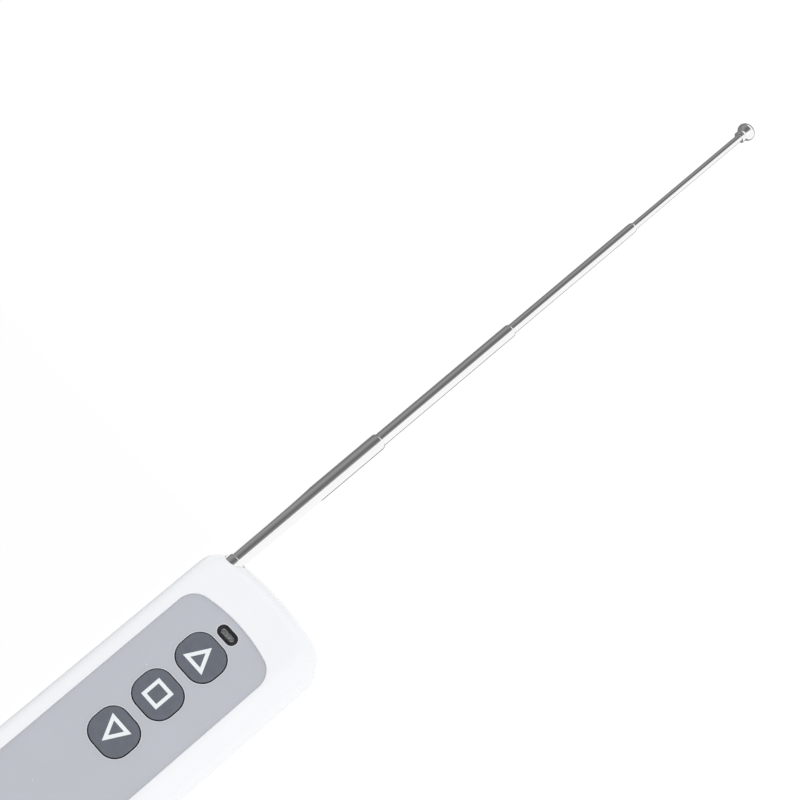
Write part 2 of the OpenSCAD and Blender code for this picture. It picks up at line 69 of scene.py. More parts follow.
FRONT_LOW, FRONT_HIGH = box("front_cover")
PANEL_LOW, PANEL_HIGH = box("face_panel")
LENS_LOW, LENS_HIGH = box("status_led")
BEZEL_LOW, BEZEL_HIGH = box("led_bezel")
BATTERY_LOW, BATTERY_HIGH = box("battery")
DOOR_END = box("battery_door")[1].y
BASE_LOW, BASE_HIGH = box("antenna_base_tube")
KEYS = ["up", "stop", "down"]
PART_Z = FRONT_LOW.z
RIM_Z = FRONT_HIGH.z
SEAT_Z = PANEL_LOW.z
HALF_W = FRONT_HIGH.x
HALF_L = FRONT_HIGH.y
ROOF_Z = BEZEL_LOW.z
AXIS_X = (BASE_LOW.x + BASE_HIGH.x) / 2
AXIS_Z = (BASE_LOW.z + BASE_HIGH.z) / 2
LED_Y = (BEZEL_LOW.y + BEZEL_HIGH.y) / 2

# The housing's own roundings, walls and fittings, in millimetres like all that follow
TOP_CORNER = 8
LOW_CORNER = 8
BOW = 85
CORNER_Y = HALF_L - BOW + math.sqrt((BOW - TOP_CORNER) ** 2 - (HALF_W - TOP_CORNER) ** 2)
LOW_FILLET = 5
NOSE_FILLET = 7.8
BACK_FILLET = 6
WALL = 2
EDGE = 0.12
LIP = 0.55
BOSS_R = 2.9
BAY_HALF = 13.45
SCREWS = [(-8.5, 61.2), (16, 59.5), (-17.2, -60), (17.2, -60)]
POSTS = [(-10.5, -3), (16.5, -3), (-10.5, 52), (16.5, 51)]
HOLD_DOWNS = [-10.2, 17.8]

# The face panel, the keys and the light
PANEL_CORNER = 6
PANEL_BOW = 50
PANEL_GAP = 0.05
KEY_CORNER = 4.95
KEY_GAP = 0.25
KEY_HOLE = (13.7, 12.2)
FLANGE_OVERLAP = 0.9
FLANGE_T = 1.2
STROKE = 1.05
SYMBOL_DEPTH = 0.3
LENS_STEP = 0.8

# The antenna's bore in the housing, its end behind the screw, and the necked length at a foot
BORE = 3.05
FOOT_Y = box("antenna_screw")[0].y - 1.4
BUSH_L = 4.5


# Outlines -----------------------------------------------------------------------------

def arc(cx, cy, r, start, end, steps):
    """Points of an arc, angles in degrees, both ends included."""
    angles = [math.radians(start + (end - start) * i / steps) for i in range(steps + 1)]
    return [(cx + r * math.cos(a), cy + r * math.sin(a)) for a in angles]


def fan(last, step, first=0):
    """Angles in radians, from whole degrees, last included."""
    return [math.radians(t) for t in range(first, last + 1, step)]


def bowed(half, top, low, r_top, r_low, bow, corner_steps=16, bow_steps=18):
    """Outline with a bowed top whose corner arcs run tangent into the bow."""
    cx = half - r_top
    cy = top - bow + math.sqrt((bow - r_top) ** 2 - cx ** 2)
    tilt = math.degrees(math.asin(cx / (bow - r_top)))
    return (arc(half - r_low, low + r_low, r_low, -90, 0, corner_steps)
            + arc(cx, cy, r_top, 0, 90 - tilt, corner_steps)
            + arc(0, top - bow, bow, 90 - tilt, 90 + tilt, bow_steps)[1:-1]
            + arc(-cx, cy, r_top, 90 + tilt, 180, corner_steps)
            + arc(-half + r_low, low + r_low, r_low, 180, 270, corner_steps))


def housing_loop(inset):
    return bowed(HALF_W - inset, HALF_L - inset, -HALF_L + inset,
                 TOP_CORNER - inset, LOW_CORNER - inset, BOW - inset)


def panel_loop(grow):
    return bowed(PANEL_HIGH.x + grow, PANEL_HIGH.y + grow, PANEL_LOW.y - grow,
                 PANEL_CORNER + grow, PANEL_CORNER + grow, PANEL_BOW + grow)


def round_rect(cx, cy, w, h, r, steps=12):
    """Rectangle with round corners, anticlockwise."""
    x, y = w / 2 - r, h / 2 - r
    return (arc(cx + x, cy - y, r, -90, 0, steps) + arc(cx + x, cy + y, r, 0, 90, steps)
            + arc(cx - x, cy + y, r, 90, 180, steps) + arc(cx - x, cy - y, r, 180, 270, steps))


def stadium(cx, cy, w, h, steps=16):
    """Slot with half-round ends, anticlockwise."""
    x = (w - h) / 2
    return arc(cx + x, cy, h / 2, -90, 90, steps) + arc(cx - x, cy, h / 2, 90, 270, steps)


def key_centre(key):
    low, high = box(key + "_key")
    return (low.x + high.x) / 2, (low.y + high.y) / 2


def key_hole(key, grow=0.0):
    cx, cy = key_centre(key)
    return round_rect(cx, cy, KEY_HOLE[0] + 2 * grow, KEY_HOLE[1] + 2 * grow, KEY_CORNER + grow)


def bezel_hole(grow=0.0):
    play = 0.06
    w = BEZEL_HIGH.x - BEZEL_LOW.x + play
    h = BEZEL_HIGH.y - BEZEL_LOW.y + play
    return stadium(0, LED_Y, w + 2 * grow, h + 2 * grow)


# Mesh tools ---------------------------------------------------------------------------

class Shell:
    """A mesh in the making. Points come in millimetres."""

    def __init__(self):
        self.bm = bmesh.new()

    def vert(self, x, y, z):
        return self.bm.verts.new((x * MM, y * MM, z * MM))

    def ring(self, loop, z):
        return [self.vert(x, y, z) for x, y in loop]

    def bridge(self, a, b):
        n = len(a)
        for i in range(n):
            j = (i + 1) % n
            self.bm.faces.new((a[i], a[j], b[j], b[i]))

    def stack(self, rings):
        for a, b in zip(rings, rings[1:]):
            self.bridge(a, b)

    def fill(self, *rings):
        """Flat face between an outer ring and any holes in it."""
        edges = []
        for ring in rings:
            for i, v in enumerate(ring):
                pair = (ring[i - 1], v)
                edges.append(self.bm.edges.get(pair) or self.bm.edges.new(pair))
        bmesh.ops.triangle_fill(self.bm, use_beauty=True, use_dissolve=False, edges=edges)


def block(low, high):
    """Closed box between two corners."""
    s = Shell()
    loop = [(low[0], low[1]), (high[0], low[1]), (high[0], high[1]), (low[0], high[1])]
    bottom, top = s.ring(loop, low[2]), s.ring(loop, high[2])
    s.bridge(bottom, top)
    s.fill(bottom)
    s.fill(top)
    return s.bm


def post(at, r, z0, z1, steps=40):
    """Closed cylinder along Z."""
    s = Shell()
    loop = arc(at[0], at[1], r, 0, 360, steps)[:-1]
    bottom, top = s.ring(loop, z0), s.ring(loop, z1)
    s.bridge(bottom, top)
    s.fill(bottom)
    s.fill(top)
    return s.bm


def turned(profile, closed=False, steps=96, axis=(AXIS_X, AXIS_Z)):
    """Turned solid along Y. The profile lists (radius, y); closed joins its ends, as on a tube."""
    s = Shell()
    rings = []
    for r, y in profile:
        if r == 0:
            rings.append([s.vert(axis[0], y, axis[1])])
            continue
        circle = arc(axis[0], axis[1], r, 0, 360, steps)[:-1]
        rings.append([s.vert(x, y, z) for x, z in circle])
    pairs = list(zip(rings, rings[1:]))
    if closed:
        pairs.append((rings[-1], rings[0]))
    for a, b in pairs:
        if len(a) == 1 or len(b) == 1:
            pole, ring = (a[0], b) if len(a) == 1 else (b[0], a)
            for i, v in enumerate(ring):
                s.bm.faces.new((ring[i - 1], v, pole))
        else:
            s.bridge(a, b)
    return s.bm


def temporary(bm):
    """Scene object that holds a bmesh while a boolean runs."""
    bmesh.ops.recalc_face_normals(bm, faces=bm.faces)
    mesh = bpy.data.meshes.new("temporary")
    bm.to_mesh(mesh)
    bm.free()
    obj = bpy.data.objects.new("temporary", mesh)
    bpy.context.scene.collection.objects.link(obj)
    return obj


def boolean(base, operation, *tools):
    """The base mesh with each tool mesh joined on or cut out, as a new bmesh."""
    obj = temporary(base)
    others = [temporary(tool) for tool in tools]
    for other in others:
        step = obj.modifiers.new("step", "BOOLEAN")
        step.operation = operation
        step.solver = "MANIFOLD"
        step.object = other
    graph = bpy.context.evaluated_depsgraph_get()
    mesh = bpy.data.meshes.new_from_object(obj.evaluated_get(graph))
    result = bmesh.new()
    result.from_mesh(mesh)
    bpy.data.meshes.remove(mesh)
    for used in [obj] + others:
        data = used.data
        bpy.data.objects.remove(used)
        bpy.data.meshes.remove(data)
    return result


def piece(name, bm, node, material, sharp=30):
    """Smooth-shaded piece that stands for a CAD node and rides on its body."""
    bmesh.ops.recalc_face_normals(bm, faces=bm.faces)
    mesh = bpy.data.meshes.new(name)
    bm.to_mesh(mesh)
    bm.free()
    mesh.polygons.foreach_set("use_smooth", [True] * len(mesh.polygons))
    mesh.set_sharp_from_angle(angle=math.radians(sharp))
    mesh.materials.append(material)
    obj = bpy.data.objects.new(name, mesh)
    bpy.context.scene.collection.objects.link(obj)
    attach(obj, BODY_OF[node])
    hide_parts(node)
    return obj


# Material tools -----------------------------------------------------------------------

class Paint:
    """A node material in the making."""

    def __init__(self, name, color, roughness, metallic=0.0, **sockets):
        self.material = bpy.data.materials.new(name)
        self.material.use_nodes = True
        self.tree = self.material.node_tree
        self.shader = self.tree.nodes["Principled BSDF"]
        self.shader.inputs["Base Color"].default_value = (*color, 1)
        self.shader.inputs["Roughness"].default_value = roughness
        self.shader.inputs["Metallic"].default_value = metallic
        for socket, value in sockets.items():
            self.shader.inputs[socket.replace("_", " ")].default_value = value
        self.place = self.tree.nodes.new("ShaderNodeTexCoord").outputs["Object"]

    def link(self, a, b):
        self.tree.links.new(a, b)

    def stretched(self, scale):
        """Object coordinates scaled along each axis."""
        node = self.tree.nodes.new("ShaderNodeMapping")
        node.inputs["Scale"].default_value = scale
        self.link(self.place, node.inputs["Vector"])
        return node.outputs["Vector"]

    def noise(self, size, detail=4, vector=None):
        """Noise whose features are about size millimetres across."""
        node = self.tree.nodes.new("ShaderNodeTexNoise")
        node.inputs["Scale"].default_value = 1 / (size * MM)
        node.inputs["Detail"].default_value = detail
        self.link(vector or self.place, node.inputs["Vector"])
        return node.outputs["Fac"]

    def cells(self, size, vector=None):
        """Distance to scattered points about size millimetres apart."""
        node = self.tree.nodes.new("ShaderNodeTexVoronoi")
        node.inputs["Scale"].default_value = 1 / (size * MM)
        self.link(vector or self.place, node.inputs["Vector"])
        return node.outputs["Distance"]

    def ramp(self, value, stops):
        """Colours by value: stops are (position, grey or colour)."""
        node = self.tree.nodes.new("ShaderNodeValToRGB")
        marks = node.color_ramp.elements
        while len(marks) < len(stops):
            marks.new(1)
        for mark, (position, color) in zip(marks, stops):
            mark.position = position
            mark.color = (*color, 1) if hasattr(color, "__len__") else (color, color, color, 1)
        self.link(value, node.inputs["Fac"])
        return node.outputs["Color"]

    def mix(self, factor, a, b):
        """Colour a where factor is 0, b where it is 1."""
        node = self.tree.nodes.new("ShaderNodeMix")
        node.data_type = "RGBA"
        for value, socket in ((factor, "Factor"), (a, "A"), (b, "B")):
            self.feed(value, node.inputs[socket])
        return node.outputs["Result"]

    def feed(self, value, socket):
        """Links an output, or sets a number or colour."""
        if isinstance(value, bpy.types.NodeSocket):
            self.link(value, socket)
        elif hasattr(value, "__len__"):
            socket.default_value = (*value, 1)
        else:
            socket.default_value = value

    def maths(self, operation, a, b):
        node = self.tree.nodes.new("ShaderNodeMath")
        node.operation = operation
        self.feed(a, node.inputs[0])
        self.feed(b, node.inputs[1])
        return node.outputs["Value"]

    def along(self, axis):
        """One object coordinate, in millimetres."""
        node = self.tree.nodes.new("ShaderNodeSeparateXYZ")
        self.link(self.place, node.inputs["Vector"])
        return self.maths("MULTIPLY", node.outputs[axis], 1 / MM)

    def beyond(self, axis, centre, reach):
        """1 where a point lies further than reach from a centre along an axis, 0 nearer."""
        off = self.maths("ABSOLUTE", self.maths("SUBTRACT", self.along(axis), centre), 0)
        return self.maths("GREATER_THAN", off, reach)

    def color(self, value):
        self.link(value, self.shader.inputs["Base Color"])

    def roughness(self, value, low, high):
        node = self.tree.nodes.new("ShaderNodeMapRange")
        node.inputs["To Min"].default_value = low
        node.inputs["To Max"].default_value = high
        self.link(value, node.inputs["Value"])
        self.link(node.outputs["Result"], self.shader.inputs["Roughness"])

    def bump(self, *layers):
        """Layers of (height, depth in millimetres), one over the other."""
        normal = None
        for height, depth in layers:
            node = self.tree.nodes.new("ShaderNodeBump")
            node.inputs["Distance"].default_value = depth * MM
            self.link(height, node.inputs["Height"])
            if normal:
                self.link(normal, node.inputs["Normal"])
            normal = node.outputs["Normal"]
        self.link(normal, self.shader.inputs["Normal"])


def tinted(color, amount):
    """The same colour, brighter or darker by a share."""
    return tuple(min(1, c * (1 + amount)) for c in color)


TINNED = (0.66, 0.66, 0.64)


def speckled(name, color, roughness, mottle, gloss, grain, **sockets):
    """Plain material from three noises. mottle is (size, detail, darker, brighter) for the colour,
    gloss is (size, detail, lowest, highest) for the roughness, grain is (size, detail, depth)."""
    p = Paint(name, color, roughness, **sockets)
    size, detail, darker, brighter = mottle
    p.color(p.mix(p.noise(size, detail), tinted(color, -darker), tinted(color, brighter)))
    size, detail, lowest, highest = gloss
    p.roughness(p.noise(size, detail), lowest, highest)
    size, detail, depth = grain
    p.bump((p.noise(size, detail), depth))
    return p.material


# Materials ----------------------------------------------------------------------------

def housing_plastic():
    """Satin white moulded ABS."""
    white = (0.914, 0.931, 0.955)
    p = Paint("housing_plastic", white, 0.3)
    p.color(p.mix(p.noise(9, 5), tinted(white, -0.01), tinted(white, 0.01)))
    p.roughness(p.noise(2.5, 6), 0.27, 0.36)
    p.bump((p.noise(0.35, 3), 0.004), (p.noise(14, 2), 0.02))
    return p.material


def panel_plastic():
    """Light grey satin sheet with fine grain and a little dust."""
    grey = (0.518, 0.537, 0.587)
    p = Paint("panel_plastic", grey, 0.42)
    grain = p.noise(0.3, 6)
    cloud = p.noise(16, 3)
    base = p.mix(cloud, tinted(grey, -0.03), tinted(grey, 0.03))
    base = p.mix(p.ramp(grain, [(0.35, 0), (0.75, 0.35)]), base, tinted(grey, 0.09))
    specks = p.ramp(p.cells(5.5), [(0.025, 1), (0.045, 0)])
    p.color(p.mix(specks, base, (0.8, 0.82, 0.85)))
    p.roughness(p.noise(1.2, 5), 0.36, 0.5)
    p.bump((grain, 0.006))
    return p.material


def painted_highlight_rim():
    """Pale band round the sheet's holes: a painted highlight standing for the light that their
    edges catch.
    """
    return speckled("painted_highlight_rim", (0.78, 0.8, 0.82), 0.35, mottle=(0.4, 4, 0.08, 0.05),
                    gloss=(0.8, 3, 0.3, 0.42), grain=(0.3, 2, 0.002))


def key_plastic():
    """Slate grey satin plastic, mottled, with fine rub marks."""
    slate = (0.136, 0.149, 0.18)
    p = Paint("key_plastic", slate, 0.4)
    mottle = p.noise(2.2, 6)
    base = p.mix(mottle, tinted(slate, -0.12), tinted(slate, 0.14))
    fine = p.noise(0.25, 4)
    base = p.mix(p.ramp(fine, [(0.45, 0), (0.8, 0.5)]), base, tinted(slate, 0.35))
    rubs = p.ramp(p.noise(1.0, 5, p.stretched((1, 6, 1))), [(0.69, 0), (0.74, 0.5)])
    p.color(p.mix(rubs, base, (0.3, 0.31, 0.34)))
    p.roughness(mottle, 0.34, 0.5)
    p.bump((fine, 0.005))
    return p.material


def symbol_plastic():
    """White inlay with a faint blue cast."""
    return speckled("symbol_plastic", (0.87, 0.91, 0.94), 0.45, mottle=(0.6, 4, 0.04, 0.03),
                    gloss=(0.4, 3, 0.4, 0.55), grain=(0.2, 3, 0.003))


def bezel_plastic():
    """Gloss black plastic."""
    black = (0.012, 0.012, 0.014)
    p = Paint("bezel_plastic", black, 0.25)
    p.color(p.mix(p.noise(0.5, 4), black, (0.022, 0.022, 0.025)))
    p.roughness(p.noise(0.8, 5), 0.2, 0.34)
    p.bump((p.noise(0.3, 2), 0.002))
    return p.material


def led_epoxy():
    """Smoked clear epoxy: the die and its cup show as soft patches under a glossy skin."""
    p = Paint("led_epoxy", (0.15, 0.15, 0.16), 0.3, Coat_Weight=0.6, Coat_Roughness=0.08)
    patches = p.noise(0.55, 3)
    p.color(p.ramp(patches, [(0.36, (0.085, 0.085, 0.09)), (0.52, (0.16, 0.16, 0.168)),
                             (0.68, (0.3, 0.3, 0.31))]))
    p.roughness(patches, 0.25, 0.45)
    p.bump((p.noise(0.4, 3), 0.01))
    return p.material


def chrome():
    """Polished chrome tube with faint draw marks along its length."""
    bright = (0.935, 0.93, 0.935)
    p = Paint("antenna_chrome", bright, 0.1, metallic=1)
    draw = p.noise(0.5, 4, p.stretched((1, 0.02, 1)))
    haze = p.noise(6, 4)
    p.color(p.mix(draw, tinted(bright, -0.05), tinted(bright, 0.05)))
    p.roughness(p.maths("MULTIPLY", draw, haze), 0.05, 0.22)
    p.bump((draw, 0.0012))
    return p.material


def brass():
    """Machined brass with turning marks and a slight tarnish."""
    yellow = (0.76, 0.56, 0.26)
    p = Paint("brass", yellow, 0.3, metallic=1)
    turning = p.noise(0.4, 3, p.stretched((0.05, 1, 0.05)))
    p.color(p.mix(p.noise(3, 5), tinted(yellow, -0.25), tinted(yellow, 0.08)))
    p.roughness(turning, 0.22, 0.42)
    p.bump((turning, 0.004))
    return p.material


def screw_steel():
    """Zinc-plated steel."""
    return speckled("screw_steel", (0.6, 0.6, 0.59), 0.35, mottle=(1.1, 6, 0.2, 0.12),
                    gloss=(0.5, 4, 0.28, 0.5), grain=(0.25, 3, 0.006), metallic=1)


def tinned_metal():
    """Tinned sheet and wire."""
    return speckled("tinned_metal", (0.68, 0.68, 0.66), 0.3, mottle=(0.8, 5, 0.15, 0.1),
                    gloss=(0.4, 4, 0.2, 0.45), grain=(0.3, 3, 0.004), metallic=1)


def copper_wire():
    """Enamelled copper."""
    return speckled("copper_wire", (0.72, 0.3, 0.13), 0.25, mottle=(1.5, 4, 0.15, 0.1),
                    gloss=(0.6, 3, 0.18, 0.32), grain=(0.4, 3, 0.003), metallic=1, Coat_Weight=0.7)


def board_mask():
    """Green solder mask over copper tracks, with tinned pads and a pale cut edge."""
    green = (0.015, 0.13, 0.05)
    p = Paint("board", green, 0.3)
    bricks = p.tree.nodes.new("ShaderNodeTexBrick")
    bricks.inputs["Scale"].default_value = 1 / (6 * MM)
    bricks.inputs["Mortar Size"].default_value = 0.06
    bricks.inputs["Mortar Smooth"].default_value = 0.2
    p.link(p.place, bricks.inputs["Vector"])
    tracks = bricks.outputs["Fac"]
    base = p.mix(p.noise(5, 4), tinted(green, -0.2), tinted(green, 0.2))
    base = p.mix(tracks, base, (0.04, 0.24, 0.09))
    pads = p.ramp(p.cells(4), [(0.13, 1), (0.15, 0)])
    p.color(p.mix(pads, base, (0.55, 0.55, 0.5)))
    p.roughness(pads, 0.3, 0.42)
    p.bump((tracks, 0.03), (pads, 0.03))
    return p.material


def moulded_black(name, shade, legs=None):
    """Black moulded plastic or epoxy. legs is (axis, centre, reach): past it lie tinned legs."""
    base = (shade, shade, shade * 1.08)
    p = Paint(name, base, 0.5)
    grain = p.noise(0.25, 5)
    body = p.mix(grain, tinted(base, -0.25), tinted(base, 0.45))
    if legs:
        tinned = p.beyond(*legs)
        body = p.mix(tinned, body, TINNED)
        p.link(tinned, p.shader.inputs["Metallic"])
    p.color(body)
    p.roughness(grain, 0.4, 0.62)
    p.bump((grain, 0.01))
    return p.material


def ceramic(name, fired, axis, centre, half):
    """Small chip part: fired ceramic between two tinned ends."""
    p = Paint(name, fired, 0.45)
    ends = p.beyond(axis, centre, half)
    speckle = p.noise(0.2, 4)
    base = p.mix(speckle, tinted(fired, -0.12), tinted(fired, 0.12))
    p.color(p.mix(ends, base, TINNED))
    p.link(ends, p.shader.inputs["Metallic"])
    p.roughness(speckle, 0.35, 0.55)
    p.bump((speckle, 0.006))
    return p.material


def capacitor_sleeve():
    """Dark blue shrink sleeve with a pale stripe and bare aluminium ends."""
    blue = (0.012, 0.018, 0.06)
    bare_end, stripe_w = 0.4, 0.8
    low, high = box("electrolytic_capacitor")
    p = Paint("capacitor_sleeve", blue, 0.3)
    ends = p.beyond("Y", (low.y + high.y) / 2, (high.y - low.y) / 2 - bare_end)
    stripe = p.maths("GREATER_THAN", p.along("X"), high.x - stripe_w)
    base = p.mix(p.noise(2, 4), tinted(blue, -0.2), tinted(blue, 0.3))
    base = p.mix(stripe, base, (0.6, 0.62, 0.64))
    p.color(p.mix(ends, base, (0.7, 0.7, 0.7)))
    p.link(ends, p.shader.inputs["Metallic"])
    p.roughness(p.noise(1, 4), 0.24, 0.4)
    p.bump((p.noise(3, 2), 0.03))
    return p.material


def battery_jacket():
    """Printed steel jacket: dark with one plain orange band towards the terminals."""
    dark = (0.02, 0.022, 0.028)
    band_l = 13
    p = Paint("battery_jacket", dark, 0.28, Coat_Weight=0.4)
    band = p.maths("GREATER_THAN", p.along("Y"), BATTERY_HIGH.y - band_l)
    base = p.mix(p.noise(5, 4), tinted(dark, -0.2), tinted(dark, 0.4))
    p.color(p.mix(band, base, (0.55, 0.2, 0.035)))
    p.roughness(p.noise(1.5, 5), 0.22, 0.38)
    p.bump((p.noise(9, 3), 0.04), (p.noise(0.4, 3), 0.003))
    return p.material


def insulation(name, color):
    """Soft PVC insulation."""
    return speckled(name, color, 0.38, mottle=(1.2, 4, 0.15, 0.15), gloss=(0.7, 3, 0.32, 0.48),
                    grain=(0.5, 3, 0.006))


def foam():
    """Soft open-cell foam."""
    dark = (0.045, 0.045, 0.048)
    p = Paint("foam", dark, 0.95)
    cells = p.cells(0.45)
    p.color(p.mix(cells, tinted(dark, -0.5), tinted(dark, 0.8)))
    p.roughness(cells, 0.85, 1)
    p.bump((cells, 0.12))
    return p.material


# Housing pieces -----------------------------------------------------------------------

def depth_in(x, y):
    """Distance of a point inside the housing outline to that outline."""
    corner = TOP_CORNER - math.hypot(abs(x) - HALF_W + TOP_CORNER, y - CORNER_Y)
    if abs(x) > HALF_W - TOP_CORNER and y > CORNER_Y:
        return corner
    return min(HALF_W - abs(x), y + HALF_L, BOW - math.hypot(x, y - HALF_L + BOW))


def rounding(y, low, nose):
    """Radius of the front edge, growing evenly from the battery end to the antenna end."""
    start = -HALF_L + LOW_CORNER
    share = min(1, max(0, (y - start) / (CORNER_Y - start)))
    return low + (nose - low) * share


def crown(x, y):
    """Height of the front face with its rounded edge."""
    r = rounding(y, LOW_FILLET, NOSE_FILLET)
    d = min(depth_in(x, y), r)
    return RIM_Z - r + math.sqrt(r * r - (r - d) ** 2)


def rounded_rings(s, inset, top, fillets, reach, steps):
    """Rings over the front edge of an outline drawn in by an inset. fillets holds the radius at
    the battery end and at the antenna end; reach limits how far in each point goes."""
    radii = [rounding(y, *fillets) for x, y in housing_loop(inset)]
    ends = [math.acos(1 - min(d, r) / r) for d, r in zip(reach, radii)]
    rings = []
    for k in range(steps + 1):
        ring = []
        for i, (r, end) in enumerate(zip(radii, ends)):
            a = end * k / steps
            x, y = housing_loop(inset + r * (1 - math.cos(a)))[i]
            ring.append(s.vert(x, y, top - r + r * math.sin(a)))
        rings.append(ring)
    return rings


def crown_strip(s, start, loop, steps):
    """Rings on the crown between a ring of vertices and an outline."""
    rings = []
    for k in range(1, steps + 1):
        ring = []
        for v, (x1, y1) in zip(start, loop):
            x = v.co.x / MM + (x1 - v.co.x / MM) * k / steps
            y = v.co.y / MM + (y1 - v.co.y / MM) * k / steps
            ring.append(s.vert(x, y, crown(x, y)))
        rings.append(ring)
    return rings


def front_skin(s):
    """Outer rings of the front shell, from the parting line over the edge to the recess's lip."""
    lip_loop = panel_loop(PANEL_GAP + LIP)
    reach = [depth_in(x, y) for x, y in lip_loop]
    rings = [s.ring(housing_loop(EDGE), PART_Z), s.ring(housing_loop(0), PART_Z + EDGE)]
    rings += rounded_rings(s, 0, RIM_Z, (LOW_FILLET, NOSE_FILLET), reach, 18)
    rings += crown_strip(s, rings[-1], lip_loop, 4)
    for a in fan(90, 15, 15):
        loop = panel_loop(PANEL_GAP + LIP * (1 - math.sin(a)))
        drop = LIP * (1 - math.cos(a))
        rings.append([s.vert(x, y, crown(x, y) - drop) for x, y in loop])
    return rings


def front_lining(s):
    """Inner rings of the front shell, from the groove at the parting line to the roof."""
    groove, groove_top = WALL - 1.05, PART_Z + 1.3
    levels = ((groove, PART_Z), (groove, groove_top), (WALL, groove_top))
    rings = [s.ring(housing_loop(inset), z) for inset, z in levels]
    reach = [HALF_W] * len(rings[0])
    return rings + rounded_rings(s, WALL, ROOF_Z, (2.5, 3.5), reach, 6)


def face_holes(s, z):
    """Rings of the holes for the keys and the light at one height."""
    return [s.ring(key_hole(k), z) for k in KEYS] + [s.ring(bezel_hole(), z)]


def front_shell():
    """Bare front shell: bowed outline, recess for the face panel, holes for keys and light."""
    s = Shell()
    outer = front_skin(s)
    seat = s.ring(panel_loop(PANEL_GAP), SEAT_Z)
    inner = front_lining(s)
    s.stack(outer + [seat])
    s.stack([outer[0]] + inner)
    holes_up = face_holes(s, SEAT_Z)
    holes_low = face_holes(s, ROOF_Z)
    for a, b in zip(holes_up, holes_low):
        s.bridge(a, b)
    s.fill(seat, *holes_up)
    s.fill(inner[-1], *holes_low)
    return s.bm


def antenna_bore(start, end):
    return turned([(0, start), (BORE, start), (BORE, end), (0, end)])


def front_cover():
    """Front shell with screw bosses, posts that hold the board down and ribs by the battery."""
    top = ROOF_Z + 0.5
    post_foot, rib, play = 15.25, 1.2, 0.2
    key_mid = (key_centre("stop")[1] + key_centre("down")[1]) / 2
    rib_y = (BATTERY_LOW.y + 0.4, BATTERY_HIGH.y - 6)
    fittings = [post(at, BOSS_R, PART_Z, top) for at in SCREWS]
    fittings += [post((x, key_mid), 1.5, post_foot, top) for x in HOLD_DOWNS]
    fittings += [block((x, rib_y[0], PART_Z), (x + rib, rib_y[1], top))
                 for x in (-BAY_HALF - rib, BAY_HALF)]
    bm = boolean(front_shell(), "UNION", *fittings)
    battery_room = block((-BAY_HALF, BATTERY_LOW.y - play, 10),
                         (BAY_HALF, BATTERY_HIGH.y, BATTERY_HIGH.z + play))
    pilots = [post(at, 1.22, PART_Z - 1, ROOF_Z - 1.5) for at in SCREWS]
    return boolean(bm, "DIFFERENCE", antenna_bore(FOOT_Y, 75), battery_room, *pilots)


def rear_shell():
    """Bare rear shell: rounded back, walls and the tongue along the parting line."""
    s = Shell()
    tongue = (WALL - 0.95, WALL - 0.1)
    tongue_top, soft = PART_Z + 1.2, 0.2
    fillet = BACK_FILLET - WALL
    outside = [(BACK_FILLET * (1 - math.sin(a)), BACK_FILLET * (1 - math.cos(a)))
               for a in fan(90, 6)]
    outside += [(0, PART_Z - EDGE), (EDGE, PART_Z)]
    inside = [(tongue[0], PART_Z), (tongue[0], tongue_top - soft), (tongue[0] + soft, tongue_top),
              (tongue[1], tongue_top), (tongue[1], PART_Z), (WALL, PART_Z)]
    inside += [(WALL + fillet * (1 - math.cos(a)), BACK_FILLET - fillet * math.sin(a))
               for a in fan(90, 10)]
    outer = [s.ring(housing_loop(i), z) for i, z in outside]
    inner = [s.ring(housing_loop(i), z) for i, z in inside]
    s.stack(outer + inner)
    s.fill(outer[0])
    s.fill(inner[-1])
    return s.bm


def rear_fittings():
    """Screw bosses, board posts with pins, saddles under the antenna, walls of the battery bay."""
    foot = WALL - 1
    board_seat, pin_top, rib = 13.6, 16, 1.55
    made = [post(at, BOSS_R, foot, PART_Z) for at in SCREWS]
    made += [post(at, 2, foot, board_seat) for at in POSTS]
    made += [post(at, 0.9, WALL, pin_top) for at in POSTS]
    made += [block((-19.4, y, foot), (-13.4, y + 2, AXIS_Z - 0.6)) for y in (12, 48)]
    made += [block((x, -HALF_L + WALL - 0.1, WALL - 0.2), (x + rib, DOOR_END - 3, PART_Z))
             for x in (-BAY_HALF - rib, BAY_HALF)]
    return made + [block((-20.3, -9.5, foot), (20.3, -8.3, 9))]


def rear_cover():
    """Rear shell with its fittings, an open battery bay, the door's seat and screw holes."""
    bm = boolean(rear_shell(), "UNION", *rear_fittings())
    seat = DOOR_END - 3.3
    outside = -HALF_L - 1
    cuts = [antenna_bore(10, 52),
            block((-BAY_HALF, BATTERY_LOW.y - 0.2, WALL), (BAY_HALF, BATTERY_HIGH.y, 22)),
            block((-14.25, outside, -1), (14.25, seat, 1.95)),
            block((-14.9, outside, 0.6), (14.9, seat - 3, 1.5)),
            block((-BAY_HALF, outside, -1), (BAY_HALF, seat, 2.95))]
    shank_holes = [post(at, 1.35, -1, PART_Z + 1) for at in SCREWS]
    head_holes = [post(at, 2.1, -1, 4.6) for at in SCREWS]
    return boolean(bm, "DIFFERENCE", *cuts, *shank_holes, *head_holes)


def painted_highlight_ring(s, edge, loop):
    """Narrow flat ring round a hole that takes the sheet's second material, a painted highlight.
    """
    rim = s.ring(loop, PANEL_HIGH.z)
    known = set(s.bm.faces)
    s.bridge(edge, rim)
    for face in set(s.bm.faces) - known:
        face.material_index = 1
    return rim


